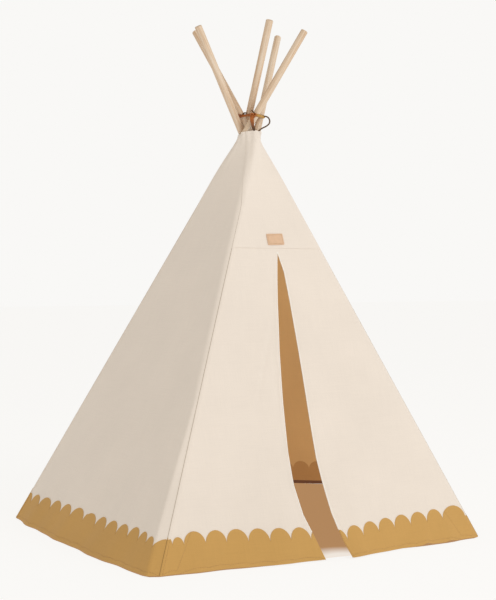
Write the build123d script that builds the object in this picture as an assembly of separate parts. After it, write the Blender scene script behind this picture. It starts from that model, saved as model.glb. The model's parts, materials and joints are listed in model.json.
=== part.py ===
from build123d import *
import math
import os

# A child's teepee tent: five round wooden poles that cross near their tops, a lined canvas cover
# with the poles in sewn corner sleeves, a door slit with two flaps, a scalloped hem band, a leather
# label, and a leather lace round the crossing. Millimetres, +Z up, the door faces -Y, and the
# origin is on the ground straight below the crossing.

# Poles: round dowels, each standing at `foot` and passing `cross` at the height of the crossing.
POLE_LENGTH = 1600.0
POLE_R = 10.0
POLE_END_CHAMFER = 1.5
CROSSING_Z = 1125.0
PIVOT_Z = 1150.0  # the height of the lace, where the poles turn when the tent is folded
POLES = {  # name: (foot x, foot y), (cross x, cross y)
    "front_left": ((-424, -456), (24, -16)),
    "front_right": ((435, -437), (-7, 7)),
    "right": ((597, 270), (-31, 6)),
    "rear": ((-18, 682), (7, 32)),
    "left": ((-590, 309), (-2, -24)),
}

# Sleeves: cloth tubes with a sewn end that the pole stands in.
SLEEVE_WALL = 1.2
SLEEVE_PLAY = 0.3
SLEEVE_R = POLE_R + SLEEVE_PLAY + SLEEVE_WALL
SLEEVE_TOP_Z = 980.0

# Cover: three layers of cloth, each a distance from the plane through the pole axes.
WALLS = {  # name: the pole at each end, in order round the tent
    "front": ("front_left", "front_right"),
    "right": ("front_right", "right"),
    "rear_right": ("right", "rear"),
    "rear_left": ("rear", "left"),
    "left": ("left", "front_left"),
}
CLOTH = 0.9
LAYERS = {"lining": 9.6, "canvas": 10.6, "band": 11.8}  # the layer's inner face
EDGE_OUT = 7.8  # from a pole's axis, along the wall, to the edge of each layer
FOLD_GAP = 1.6  # between the two halves of a wall
HEM_Z = 2.5
WALL_TOP_Z = 1010.0

# Crown: the top of the cover, above the walls.
CROWN_WALL = 1.4
CROWN_MEAN_R = 45.0
CROWN_REACH = 23.0  # from a pole's axis to the crown's lower corner
CROWN_BASE_Z = WALL_TOP_Z + 2.0
CROWN_TOP_Z = 1095.0
CROWN_TOP = [(-24, -48), (34, -42), (32, 26), (10, 86), (-42, 10)]

# Door: a slit down the middle of the front, with two flaps that fold out on slanting creases.
# Places on a wall are (across from its middle, up its slope from the ground).
HEADER_UP = 815.0
SEAM_GAP = 1.0  # under the header
SLIT_UP = 792.0
CREASE_FOOT = 392.0
CREASE_GAP = 1.2
HINGE_OUT = 12.7  # the creases lie on the outer face of the band
FLAP_EDGES = {  # the free edge, from the slit's top to the hem
    "left": [(-1.5, SLIT_UP), (-14, 669), (-48, 395), (-62, 240), (-50, 108), (-14, 0)],
    "right": [(1.5, SLIT_UP), (14, 669), (17, 392), (16, 250), (30, 107), (60, 0)],
}

# Hem band: a row of round scallops.
SCALLOP_PITCH = 54.0
SCALLOP_HIGH = 25.0
VALLEY_UP = 63.0
BAND_TOP_Z = 130.0  # the band is cut from a strip this high

# Cutting blocks reach past the cloth by these amounts.
UNDER = 20.0
BEYOND = 500.0
ABOVE = 1200.0

# Label: a small leather patch over the slit.
LABEL_W = 50.0
LABEL_H = 31.0
LABEL_T = 1.4
LABEL_AT = (14.0, 845.0)
LABEL_TURN = 3.0
LABEL_OUT = 13.2

# Lace: a flat leather thong tied round four of the poles, with one loop and one tail.
LACE_T = 1.8
LACE_H = 9.0
LACE_POLES = ["front_left", "front_right", "rear", "left"]
LACE_REACH = 14.5  # from a pole's axis to the lace, which the poles cross at a slant
KNOT_R = 5.0
KNOT_AT = (-7.8, -42.2, 1148.5)
CORD_R = 2.0
LOOP_ROUTE = [
    (28.4, -40.9, 1149),
    (35, -47, 1146),
    (38.5, -50, 1135),
    (34.5, -48.5, 1123),
    (22, -44.5, 1112),
    (11, -39, 1100),
]
TAIL_ROUTE = [
    (-8.6, -42, 1143),
    (-8, -42, 1131),
    (-4.5, -40.5, 1119),
    (0.5, -38, 1107),
    (3, -37.4, 1096),
]


def pole_line(name):
    """The middle of the pole's lower end, and the direction of the pole."""
    foot, cross = POLES[name]
    run = math.dist(foot, cross)
    tilt = math.atan2(run, CROSSING_Z)
    end_z = SLEEVE_WALL * math.cos(tilt) + SLEEVE_R * math.sin(tilt)
    start = Vector(*foot, end_z)
    return start, (Vector(*cross, CROSSING_Z) - start).normalized()


def pole_at(name, z):
    start, way = pole_line(name)
    return start + way * ((z - start.Z) / way.Z)


def wall_plane(wall):
    """A plane on the wall: x across from its middle, y up its slope, z outwards."""
    a, b = WALLS[wall]
    low_a, low_b = pole_at(a, 0), pole_at(b, 0)
    high = (pole_at(a, WALL_TOP_Z) + pole_at(b, WALL_TOP_Z)) * 0.5
    middle = (low_a + low_b) * 0.5
    across = (low_b - low_a).normalized()
    out = across.cross(high - middle).normalized()
    return Plane(origin=middle, x_dir=across, z_dir=out)


def wall_point(wall, across, up, out=0.0):
    return wall_plane(wall).from_local_coords(Vector(across, up, out))


def level_cut(wall, side, layer, z):
    """One layer of a half wall, cut level at height z."""
    a, b = WALLS[wall]
    at_a, at_b = pole_at(a, z), pole_at(b, z)
    across = (at_b - at_a).normalized()
    out = Vector(across.Y, -across.X, 0)
    slant = math.cos(math.asin(wall_plane(wall).z_dir.Z))
    inner = LAYERS[layer]
    middle = (at_a + at_b) * 0.5
    if side == "a":
        near, far = at_a + across * EDGE_OUT, middle - across * (FOLD_GAP / 2)
    else:
        near, far = at_b - across * EDGE_OUT, middle + across * (FOLD_GAP / 2)
    low, high = out * (inner / slant), out * ((inner + CLOTH) / slant)
    return Wire.make_polygon([near + low, far + low, far + high, near + high], close=True)


def half_wall(wall, side, layer, top=WALL_TOP_Z):
    cuts = [level_cut(wall, side, layer, z) for z in (HEM_Z, top)]
    return Solid.make_loft(cuts, ruled=True)


def through_wall(wall, edges):
    """A block through the wall, with the outline drawn by edges in wall coordinates."""
    face = Face(Wire(edges))
    block = extrude(face, amount=80, both=True)
    return wall_plane(wall).location * block


def lines(points):
    return [Edge.make_line(Vector(*p), Vector(*q)) for p, q in zip(points, points[1:])]


def polygon_block(wall, points):
    return through_wall(wall, lines(points + points[:1]))


def scallop_block(wall):
    """Everything under the row of scallops, which has a low point at each end of the wall."""
    a, b = WALLS[wall]
    width = (pole_at(a, 0) - pole_at(b, 0)).length
    count = round(width / SCALLOP_PITCH)
    pitch = width / count
    edges = []
    for k in range(count):
        left = -width / 2 + k * pitch
        points = [(left, VALLEY_UP), (left + pitch / 2, VALLEY_UP + SCALLOP_HIGH), (left + pitch, VALLEY_UP)]
        edges.append(Edge.make_three_point_arc(*[Vector(*p) for p in points]))
    corners = [(width / 2, VALLEY_UP), (width / 2, -30), (-width / 2, -30), (-width / 2, VALLEY_UP)]
    return through_wall(wall, edges + lines(corners))


def crease(side):
    """The crease of a door flap, from its foot to the slit's top, on the wall."""
    sign = -1 if side == "left" else 1
    return (sign * CREASE_FOOT, 0.0), (sign * 1.5, SLIT_UP)


def flap_block(side):
    """The outline of a door flap: the crease, the free edge and the hem."""
    sign = -1 if side == "left" else 1
    foot, _ = crease(side)
    edge = FLAP_EDGES[side]
    free = Edge.make_spline([Vector(*p) for p in edge])
    inset = foot[0] - sign * CREASE_GAP
    under = [(edge[-1][0], 0), (edge[-1][0], -UNDER), (inset, -UNDER), (inset, 0), edge[0]]
    return through_wall("front", [free] + lines(under))


def side_block(side):
    """The part of the front between the pole and the crease, up to the header seam."""
    sign = -1 if side == "left" else 1
    foot, top = crease(side)
    far = sign * BEYOND
    seam = HEADER_UP - SEAM_GAP
    corners = [(foot[0], -UNDER), foot, top, (0, SLIT_UP), (0, seam), (far, seam), (far, -UNDER)]
    return polygon_block("front", corners)


def header_block(low):
    return polygon_block("front", [(-BEYOND, low), (BEYOND, low), (BEYOND, ABOVE), (-BEYOND, ABOVE)])


def one_solid(shape):
    """The single solid of a cut that should leave one piece."""
    pieces = sorted(shape.solids(), key=lambda s: s.volume)
    return pieces[-1]


def pole(name):
    start, way = pole_line(name)
    rod = Solid.make_cylinder(POLE_R, POLE_LENGTH, Plane(origin=start, z_dir=way))
    return rod.chamfer(POLE_END_CHAMFER, None, rod.edges().filter_by(GeomType.CIRCLE))


def sleeve(name):
    start, way = pole_line(name)
    length = (SLEEVE_TOP_Z - start.Z) / way.Z
    closed_end = Plane(origin=start - way * SLEEVE_WALL, z_dir=way)
    outer = Solid.make_cylinder(SLEEVE_R, length + SLEEVE_WALL, closed_end)
    bore = Solid.make_cylinder(POLE_R + SLEEVE_PLAY, length + SLEEVE_R, Plane(origin=start, z_dir=way))
    return outer - bore


def crown():
    """A five-sided funnel round the crossing poles."""
    low = []
    for name in POLES:
        axis = pole_at(name, CROWN_BASE_Z)
        lean = Vector(axis.X, axis.Y - 8, 0).normalized()
        low.append(axis + lean * CROWN_REACH)
    high = [Vector(x, y, CROWN_TOP_Z) for x, y in CROWN_TOP]

    def funnel(scale):
        rings = []
        for ring in (low, high):
            middle = sum(ring[1:], ring[0]) * (1 / len(ring))
            rings.append(Wire.make_polygon([middle + (p - middle) * scale for p in ring], close=True))
        return Solid.make_loft(rings, ruled=True)

    inner_scale = 1 - CROWN_WALL / CROWN_MEAN_R
    return funnel(1.0) - funnel(inner_scale)


def label():
    place = wall_plane("front").location * Pos(*LABEL_AT, LABEL_OUT) * Rot(0, 0, LABEL_TURN)
    patch = Box(LABEL_W, LABEL_H, LABEL_T, align=(Align.CENTER, Align.CENTER, Align.MIN))
    patch = fillet(patch.edges().filter_by(Axis.Z), 2.5)
    return place * patch


def lace_wrap():
    def ring(reach):
        spots = [Vector(pole_at(n, PIVOT_Z).X, pole_at(n, PIVOT_Z).Y) for n in LACE_POLES]
        with BuildSketch() as sketch:
            with Locations(*[(s.X, s.Y) for s in spots]):
                Circle(reach)
            make_hull()
        return extrude(sketch.sketch, amount=LACE_H)

    band = ring(LACE_REACH + LACE_T) - ring(LACE_REACH)
    return Pos(0, 0, PIVOT_Z - LACE_H / 2) * band


def lace_knot():
    knot = Cylinder(KNOT_R, 2 * KNOT_R)
    knot = fillet(knot.edges().filter_by(GeomType.CIRCLE), KNOT_R * 0.6)
    return Pos(*KNOT_AT) * knot


def bend_radii(route):
    radii = []
    for p, q, r in zip(route, route[1:], route[2:]):
        before, after = Vector(*q) - Vector(*p), Vector(*r) - Vector(*q)
        half = math.radians(before.get_angle(after) / 2)
        radii.append(0.45 * min(before.length, after.length) / math.tan(half))
    return radii


def cord(route):
    radii = bend_radii(route)
    path = FilletPolyline(*route, radius=radii)
    way = Vector(*route[1]) - Vector(*route[0])
    tube = sweep(Plane(origin=route[0], z_dir=way) * Circle(CORD_R), path=path)
    print("cord", round(path.length, 1), "mm, radii", [round(r, 1) for r in radii],
          "volume share", round(tube.volume / (math.pi * CORD_R**2 * path.length), 3))
    return tube


def wall_halves():
    """The halves of the four closed walls, each with its canvas, lining and hem band."""
    parts = {}
    for wall, ends in WALLS.items():
        if wall == "front":
            continue
        scallops = scallop_block(wall)
        for side, pole_name in zip("ab", ends):
            name = f"{wall}_wall_by_{pole_name}_pole"
            parts[f"{name}_canvas"] = half_wall(wall, side, "canvas")
            parts[f"{name}_lining"] = half_wall(wall, side, "lining")
            parts[f"{name}_hem_band"] = one_solid(half_wall(wall, side, "band", BAND_TOP_Z) & scallops)
    return parts


def front_halves():
    """The header, the fixed side panels and the two door flaps."""
    parts = {}
    scallops = scallop_block("front")
    for side, key in (("left", "a"), ("right", "b")):
        canvas = half_wall("front", key, "canvas")
        lining = half_wall("front", key, "lining")
        band = half_wall("front", key, "band", BAND_TOP_Z) & scallops
        fixed, flap = side_block(side), flap_block(side)
        parts[f"header_{side}_canvas"] = one_solid(canvas & header_block(HEADER_UP))
        parts[f"front_{side}_side_canvas"] = one_solid(canvas & fixed)
        parts[f"front_{side}_header_lining"] = one_solid(lining & header_block(HEADER_UP))
        parts[f"front_{side}_side_lining"] = one_solid(lining & fixed)
        parts[f"front_{side}_side_hem_band"] = one_solid(band & fixed)
        parts[f"door_{side}_canvas"] = one_solid(canvas & flap)
        parts[f"door_{side}_lining"] = one_solid(lining & flap)
        parts[f"door_{side}_hem_band"] = one_solid(band & flap)
    return parts


def build():
    parts = {}
    for name in POLES:
        parts[f"{name}_pole"] = pole(name)
        parts[f"{name}_sleeve"] = sleeve(name)
    parts.update(wall_halves())
    parts.update(front_halves())
    parts["crown"] = crown()
    parts["label"] = label()
    parts["lace_wrap"] = lace_wrap()
    parts["lace_knot"] = lace_knot()
    parts["lace_loop"] = cord(LOOP_ROUTE)
    parts["lace_tail"] = cord(TAIL_ROUTE)
    return parts


def main():
    os.makedirs("parts", exist_ok=True)
    for node, shape in build().items():
        shape.label = node
        export_step(shape, f"parts/{node}.step")


if __name__ == "__main__":
    main()
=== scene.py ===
"""A child's teepee tent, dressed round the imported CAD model: poles, lined canvas cover with a scalloped
hem band, door flaps, leather label and leather lace. Metres, in the CAD frame, the door faces -Y."""
import json
import math

import bpy
import numpy as np
from mathutils import Matrix, Vector, noise

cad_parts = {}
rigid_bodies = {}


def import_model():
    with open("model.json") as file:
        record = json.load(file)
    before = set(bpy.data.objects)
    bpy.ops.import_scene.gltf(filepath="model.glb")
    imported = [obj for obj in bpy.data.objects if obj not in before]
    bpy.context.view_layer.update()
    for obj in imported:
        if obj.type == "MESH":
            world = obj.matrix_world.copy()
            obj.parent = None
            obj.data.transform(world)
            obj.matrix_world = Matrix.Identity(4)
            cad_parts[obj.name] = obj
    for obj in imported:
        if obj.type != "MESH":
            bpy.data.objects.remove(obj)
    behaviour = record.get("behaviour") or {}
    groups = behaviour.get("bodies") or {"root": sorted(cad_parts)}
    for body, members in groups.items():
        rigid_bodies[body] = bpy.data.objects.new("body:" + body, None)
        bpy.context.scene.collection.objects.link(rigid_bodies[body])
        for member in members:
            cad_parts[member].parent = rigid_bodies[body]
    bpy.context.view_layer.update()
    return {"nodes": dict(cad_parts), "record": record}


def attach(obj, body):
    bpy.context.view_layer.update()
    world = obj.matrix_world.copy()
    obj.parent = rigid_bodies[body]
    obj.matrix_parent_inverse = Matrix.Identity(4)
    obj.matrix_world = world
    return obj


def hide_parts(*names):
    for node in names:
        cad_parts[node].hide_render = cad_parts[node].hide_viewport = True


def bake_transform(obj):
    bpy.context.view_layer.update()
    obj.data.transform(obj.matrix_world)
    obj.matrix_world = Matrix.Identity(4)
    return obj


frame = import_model()

# ---------------------------------------------------------------- driving dimensions
POLES = ["front_left", "front_right", "right", "rear", "left"]
WALLS = {
    "front": ("front_left", "front_right"),
    "right": ("front_right", "right"),
    "rear_right": ("right", "rear"),
    "rear_left": ("rear", "left"),
    "left": ("left", "front_left"),
}
HEM_Z = 0.0015
TOP_Z = 1.095
LEAVE_Z = 0.88  # above this the corner seams leave the poles for the mouth of the cover
ROUND_R = 0.0166  # the cloth passes this far outside the pole axes, low down
ROUND_R_TOP = 0.0134
MOUTH_R = 0.04  # a place near the mouth's rim, for the seams' directions there
# A flat strip beside the seam: its turn round the pole, as in SEAM_SHARE, and its width.
WIDE_SLEEVE = {"front_left": (0.70, 0.024)}
STRIP_R = 0.008
RISE = 0.93  # height gained per metre up a wall
CLOTH = 0.0007
LINING_IN = 0.0016
LINING_TOP = 1.045
FRONT_LINING_UP, WALL_LINING_DOWN = 0.0010, 0.0012  # the lining's foot against the hem's
BAND_OUT = 0.0009

# Where the corner seam lies on the round of the cloth over each pole: 0 at the wall before, 1 at the next.
SEAM_SHARE = {"front_left": 0.72, "front_right": 0.92, "right": 0.3, "rear": 0.5, "left": 0.85}
# Where each seam ends on the mouth of the cover, as directions from the middle of the mouth, in degrees.
SEAM_TOP = {"front_left": -123, "front_right": -62, "right": 5, "rear": 92, "left": 172}

# Door. Heights, places across the front from its middle, and how far the edge stands out of the wall.
HEADER_Z = 0.771
SLIT_Z = 0.754
CREASE_FOOT_U = 0.392
FLAP_EDGES = {
    "left": [(0.754, 0.002, 0), (0.683, -0.011, 0), (0.622, -0.0215, 0.001), (0.490, -0.041, 0.002),
             (0.367, -0.0545, 0.003), (0.245, -0.065, 0.005), (0.171, -0.067, 0.007), (0.100, -0.0565, 0.010),
             (0.049, -0.0395, 0.015), (0.0, -0.0255, 0.018)],
    "right": [(0.754, 0.0035, 0), (0.700, 0.015, 0), (0.622, 0.017, 0.001), (0.490, 0.0175, 0.002),
              (0.365, 0.0165, 0.003), (0.225, 0.013, 0.007), (0.166, 0.016, 0.011), (0.100, 0.0215, 0.016),
              (0.040, 0.032, 0.025), (0.0, 0.0430, 0.031)],
}

# Scallops
PITCH = 0.0538
VALLEY_V = 0.059
# The valleys' height where it isn't VALLEY_V: near the wall's middle, and near its corner.
VALLEY_UP = {"fronta": (0.049, 0.067), "frontb": (0.041, 0.060), "lefta": (0.0595, 0.0475)}
SCALLOP_H = 0.031
CORNER_SCALLOP_H = {"front_left": 0.020, "front_right": 0.001}  # where it isn't SCALLOP_H
LEFT_SCALLOPS = (0.348, 0.034, 0.0058, 0.070)  # last valley by the front corner, width there, growth, widest
HEM_SHADOW_V = 0.013  # the painted shadow at the foot of the lining, where the hem meets the floor

# ---------------------------------------------------------------- camera
CAMERA_AT = (-1.174, -2.7728, 0.6421)
CAMERA_RIGHT = Vector((0.921701, -0.3878, -0.008902))
CAMERA_DOWN = Vector((-0.010539, -0.002095, -0.999942))
CAMERA_AHEAD = Vector((0.387759, 0.921741, -0.006018))
CAMERA_LENS = 63.59


def add_camera():
    data = bpy.data.cameras.new("camera")
    data.lens = CAMERA_LENS
    data.sensor_width = 36
    camera = bpy.data.objects.new("camera", data)
    bpy.context.scene.collection.objects.link(camera)
    turn = Matrix((CAMERA_RIGHT, -CAMERA_DOWN, -CAMERA_AHEAD)).transposed()
    camera.matrix_world = Matrix.Translation(CAMERA_AT) @ turn.to_4x4()
    bpy.context.scene.camera = camera


add_camera()

# ---------------------------------------------------------------- poles and level sections of the cover
MOUNTS = {m["name"]: m for m in frame["record"]["mounts"]}


def pole_axis(name):
    mount = MOUNTS[f"{name}_pole_top"]
    return np.array(mount["pos_m"]), np.array(mount["axis"])


def pole_at(name, z):
    point, way = pole_axis(name)
    return point + way * ((z - point[2]) / way[2])


def azimuth(v):
    return math.atan2(v[1], v[0])


def unit(v):
    """Each vector, at a length of 1."""
    return v / np.maximum(np.linalg.norm(v, axis=-1, keepdims=True), 1e-12)


def lengths_along(line):
    """How far along the line each of its points is."""
    return np.concatenate([[0], np.cumsum(np.linalg.norm(np.diff(line, axis=0), axis=1))])


def flat_row(across, z):
    """Where a level row of points lies on the flat cloth."""
    return np.stack([across, np.full(len(across), z / RISE)], axis=1)


def smooth(a, b, x):
    t = np.clip((np.asarray(x, float) - a) / (b - a), 0, 1)
    return t * t * (3 - 2 * t)


NORMALS = np.linspace(-math.pi, math.pi, 1441)
UNIT = np.stack([np.cos(NORMALS), np.sin(NORMALS)], axis=1)


def round_r(z):
    """The cloth's distance from the poles' axes at height z."""
    return ROUND_R + (ROUND_R_TOP - ROUND_R) * float(smooth(0.95, 1.08, z))


def toward(turn):
    """The level unit vector at a turn given in radians."""
    return np.array([math.cos(turn), math.sin(turn)])


def wall_normal(wall, z):
    a, b = WALLS[wall]
    e = unit((pole_at(b, z) - pole_at(a, z))[:2])
    return np.array([e[1], -e[0]])


def arc_between(low, high, share):
    """The direction a share of the way round from one direction to the next, anticlockwise."""
    a = azimuth(low)
    turn = (azimuth(high) - a) % (2 * math.pi)
    return a + share * turn


def wall_before(pole):
    return next(w for w, ends in WALLS.items() if ends[1] == pole)


def wall_after(pole):
    return next(w for w, ends in WALLS.items() if ends[0] == pole)


def supports(z):
    """What the cloth goes round at height z: circles on the poles, and the far edge of each wide sleeve."""
    centres = [pole_at(p, z)[:2] for p in POLES]
    radii = [round_r(z)] * len(POLES)
    for pole, (share, width) in WIDE_SLEEVE.items():
        turn = arc_between(wall_normal(wall_before(pole), z), wall_normal(wall_after(pole), z), share)
        out = toward(turn)
        back = np.array([out[1], -out[0]]) * width * (1 - float(smooth(0.0, 0.5, z)))
        centres.append(pole_at(pole, z)[:2] + back + out * (round_r(z) - STRIP_R))
        radii.append(STRIP_R)
    return np.array(centres), np.array(radii)


class Section:
    """The level outline of the cloth at height z: the poles' hull, grown by the round over the poles."""

    def __init__(self, z):
        self.z = z
        poles, rounds = supports(z)
        self.middle = poles[:len(POLES)].mean(axis=0)
        over = (UNIT @ poles.T + rounds).argmax(axis=1)
        self.points = poles[over] + UNIT * rounds[over][:, None]
        self.along = lengths_along(self.points)
        self.girth = self.along[-1]
        v = self.points - self.middle
        self.turn = np.unwrap(np.arctan2(v[:, 1], v[:, 0]))
        base = min(z, LEAVE_Z)
        share = 0 if z <= LEAVE_Z else (z - LEAVE_Z) / (TOP_Z - LEAVE_Z)
        self.seam = {}
        self.mid = {}
        for pole in POLES:
            way = arc_between(wall_normal(wall_before(pole), base), wall_normal(wall_after(pole), base),
                              SEAM_SHARE[pole])
            low = pole_at(pole, base)[:2] + toward(way) * round_r(base)
            mouth = mouth_middle() + toward(math.radians(SEAM_TOP[pole])) * MOUTH_R
            self.seam[pole] = self.place(low * (1 - share) + mouth * share - self.middle)
        for wall, (a, b) in WALLS.items():
            flat = (pole_at(a, base)[:2] + pole_at(b, base)[:2]) / 2 + wall_normal(wall, base) * ROUND_R
            tops = arc_between(toward(math.radians(SEAM_TOP[a])), toward(math.radians(SEAM_TOP[b])), 0.5)
            mouth = mouth_middle() + toward(tops) * MOUTH_R
            self.mid[wall] = self.place(flat * (1 - share) + mouth * share - self.middle)

    def place(self, v):
        """How far along the outline it meets the direction v from the middle."""
        t = self.turn[0] + (azimuth(v) - self.turn[0]) % (2 * math.pi)
        return float(np.interp(t, self.turn, self.along))

    def at(self, along):
        along = np.mod(along, self.girth)
        return np.stack([np.interp(along, self.along, self.points[:, k]) for k in (0, 1)], axis=-1)

    def out(self, along):
        d = unit(self.at(along + 0.002) - self.at(along - 0.002))
        return np.stack([d[..., 1], -d[..., 0]], axis=-1)


def mouth_middle():
    return np.mean([pole_at(p, TOP_Z)[:2] for p in POLES], axis=0)


_sections = {}


def section(z):
    key = round(float(z), 5)
    if key not in _sections:
        _sections[key] = Section(key)
    return _sections[key]


def wall_span(sec, wall):
    """Where the wall starts, folds and ends along the outline, in increasing order."""
    a, b = WALLS[wall]
    start = sec.seam[a]
    mid = start + (sec.mid[wall] - start) % sec.girth
    end = start + (sec.seam[b] - start) % sec.girth
    return start, mid, end


# ---------------------------------------------------------------- the cloth's own shape
PHASE = {"front": 0.4, "right": 1.9, "rear_right": 3.1, "rear_left": 4.6, "left": 5.5}
HEM_SWING = {"front": 0.018, "right": 0.016, "rear_right": 0.016, "rear_left": 0.016, "left": 0.020}
HEM_LIFTS = [(0.277, 0.013, 0.0045), (0.353, 0.013, 0.0034)]  # on the front: place, half width, height
# Soft creases on the left of the slit: how far below its top they start and end, their place across the
# front at the start, how much they lean, their half width and their depth.
CREASES = [(0.0, 0.07, -0.004, 0.60, 0.004, 0.0007), (0.17, 0.42, -0.040, 0.39, 0.007, 0.0009),
           (0.28, 0.44, -0.062, 0.05, 0.005, 0.0007)]


def relief(wall, s, width, z, places):
    """How far the cloth stands out of the straight wall, at s along a wall that is width wide."""
    share = s / width
    bow = np.sin(np.pi * np.clip(share, 0, 1))
    near = np.minimum(s, width - s)
    fade = smooth(0.012, 0.10, near)
    hem = HEM_SWING[wall] * bow**0.7 * np.exp(-z / 0.085)
    sag = -0.0045 * bow * math.sin(math.pi * min(z / 1.0, 1.0))
    ripple = 0.0028 * np.sin(2 * np.pi * s / 0.235 + PHASE[wall] + 1.4 * z) * math.exp(-z / 0.22)
    small = 0.0011 * np.sin(2 * np.pi * s / 0.097 + 2.3 * PHASE[wall] + 5 * z) * math.exp(-z / 0.12)
    soft = np.array([noise.noise(Vector((p[0] * 4.2, p[1] * 4.2, z * 2.1))) for p in places])
    fine = np.array([noise.noise(Vector((p[0] * 17, p[1] * 17, z * 6))) for p in places])
    high = float(smooth(0.93, 1.08, z))
    gather = 0.0011 * np.sin(2 * np.pi * s / 0.021 + PHASE[wall]) * high
    waves = ripple + small + 0.0042 * soft + 0.0008 * fine
    return (hem + sag) * fade + fade * waves + gather * smooth(0, 0.012, near)


def mouth_lift(points):
    """The top edge isn't quite level."""
    z = points[..., 2]
    v = points[..., :2] - mouth_middle()
    turn = np.arctan2(v[..., 1], v[..., 0])
    lift = 0.0032 * np.cos(2 * (turn + 1.55)) + 0.0014 * np.cos(turn + 1.55) + 0.0006 * np.sin(7 * turn)
    points[..., 2] = z + lift * smooth(1.02, TOP_Z, z)
    return points


def hem_lift(wall, u, near):
    """The hem rises a little off the floor in places."""
    wave = 0.0005 * (1 + np.sin(2 * np.pi * u / 0.26 + 2 * PHASE[wall]))
    if wall == "front":
        for place, half, height in HEM_LIFTS:
            wave = wave + height * np.exp(-((u - place) / half) ** 2)
    return wave * smooth(0.01, 0.06, near)


def door_creases(u, z):
    depth = 0.0
    for start, end, place, lean, half, deep in CREASES:
        down = SLIT_Z - z
        middle = place - lean * (down - start)
        there = float(smooth(start - 0.01, start + 0.04, down) * (1 - smooth(end - 0.08, end, down)))
        depth = depth - deep * there * np.exp(-((u - middle) / half) ** 2)
    return depth


def row_on_wall(wall, z, s, layer_out=0.0, stand=0.0):
    """Points at distances s from the wall's first seam, at height z."""
    sec = section(z)
    start, mid, end = wall_span(sec, wall)
    places = sec.at(start + s)
    out = sec.out(start + s)
    u = s - (mid - start)
    lift = relief(wall, s, end - start, z, places) + layer_out + stand
    if wall == "front":
        lift = lift + door_creases(u, z)
    flat = places + out * np.asarray(lift)[..., None]
    rise = hem_lift(wall, u, np.minimum(s, end - start - s)) * math.exp(-z / 0.018)
    return np.concatenate([flat, (z + rise)[:, None]], axis=1)


def half_columns(width, far):
    """Distances from a seam to the far edge: close together over the round, then even."""
    close = np.arange(0, 13) * 0.0032 * min(1.0, width / 0.09)
    rest = np.linspace(close[-1], width, far + 1)[1:]
    return np.concatenate([close, rest])


# ---------------------------------------------------------------- meshes
def link(obj):
    bpy.context.scene.collection.objects.link(obj)
    return obj


def mesh_object(name, points, faces, uv=None, material=None):
    mesh = bpy.data.meshes.new(name)
    mesh.from_pydata([tuple(map(float, p)) for p in points], [], [tuple(map(int, f)) for f in faces])
    if uv is not None:
        layer = mesh.uv_layers.new(name="UVMap")
        index = np.zeros(len(mesh.loops), np.int32)
        mesh.loops.foreach_get("vertex_index", index)
        layer.data.foreach_set("uv", np.asarray(uv, np.float32)[index].ravel())
    mesh.polygons.foreach_set("use_smooth", np.ones(len(mesh.polygons), bool))
    mesh.update()
    obj = link(bpy.data.objects.new(name, mesh))
    if material:
        obj.data.materials.append(material)
    return obj


def grid_faces(rows, cols, flip=False):
    k = np.arange((rows - 1) * cols).reshape(rows - 1, cols)[:, :-1].ravel()
    quads = np.stack([k, k + 1, k + cols + 1, k + cols], axis=1)
    return quads[:, ::-1] if flip else quads


def drop_flat(points, faces):
    """Without the faces that have no area, and with the points that coincide merged."""
    key = np.round(points / 1e-5).astype(np.int64)
    _, first, back = np.unique(key, axis=0, return_index=True, return_inverse=True)
    keep = []
    for f in first[np.ravel(back)][faces]:
        ring = [f[i] for i in range(len(f)) if f[i] != f[i - 1]]
        if len(set(ring)) >= 3:
            keep.append(ring)
    return keep


def compact(points, faces, uv):
    used = sorted({i for f in faces for i in f})
    new = {old: i for i, old in enumerate(used)}
    return points[used], [[new[i] for i in f] for f in faces], uv[used]


def cloth_object(name, grid, uv, material, flip, thickness=CLOTH):
    rows, cols = grid.shape[:2]
    points = grid.reshape(-1, 3)
    faces = drop_flat(points, grid_faces(rows, cols, flip))
    points, faces, uv = compact(points, faces, uv.reshape(-1, 2))
    obj = mesh_object(name, points, faces, uv, material)
    solid = obj.modifiers.new("Solidify", "SOLIDIFY")
    solid.thickness = thickness
    solid.offset = -1
    split = obj.modifiers.new("Crisp rims", "EDGE_SPLIT")
    split.split_angle = math.radians(60)
    return obj


def declare_sheet(obj):
    """Reads the UV coordinates off the finished mesh, and does nothing more with them. Both the rectangle
    and the area are read off the finished mesh. The least that is stated is MIN_SIDE for a side, and
    MIN_FILL of the rectangle for the area, even where the mesh has less.
    """
    uv = np.zeros(len(obj.data.loops) * 2, np.float32)
    obj.data.uv_layers[0].data.foreach_get("uv", uv)
    uv = uv.reshape(-1, 2)


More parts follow.
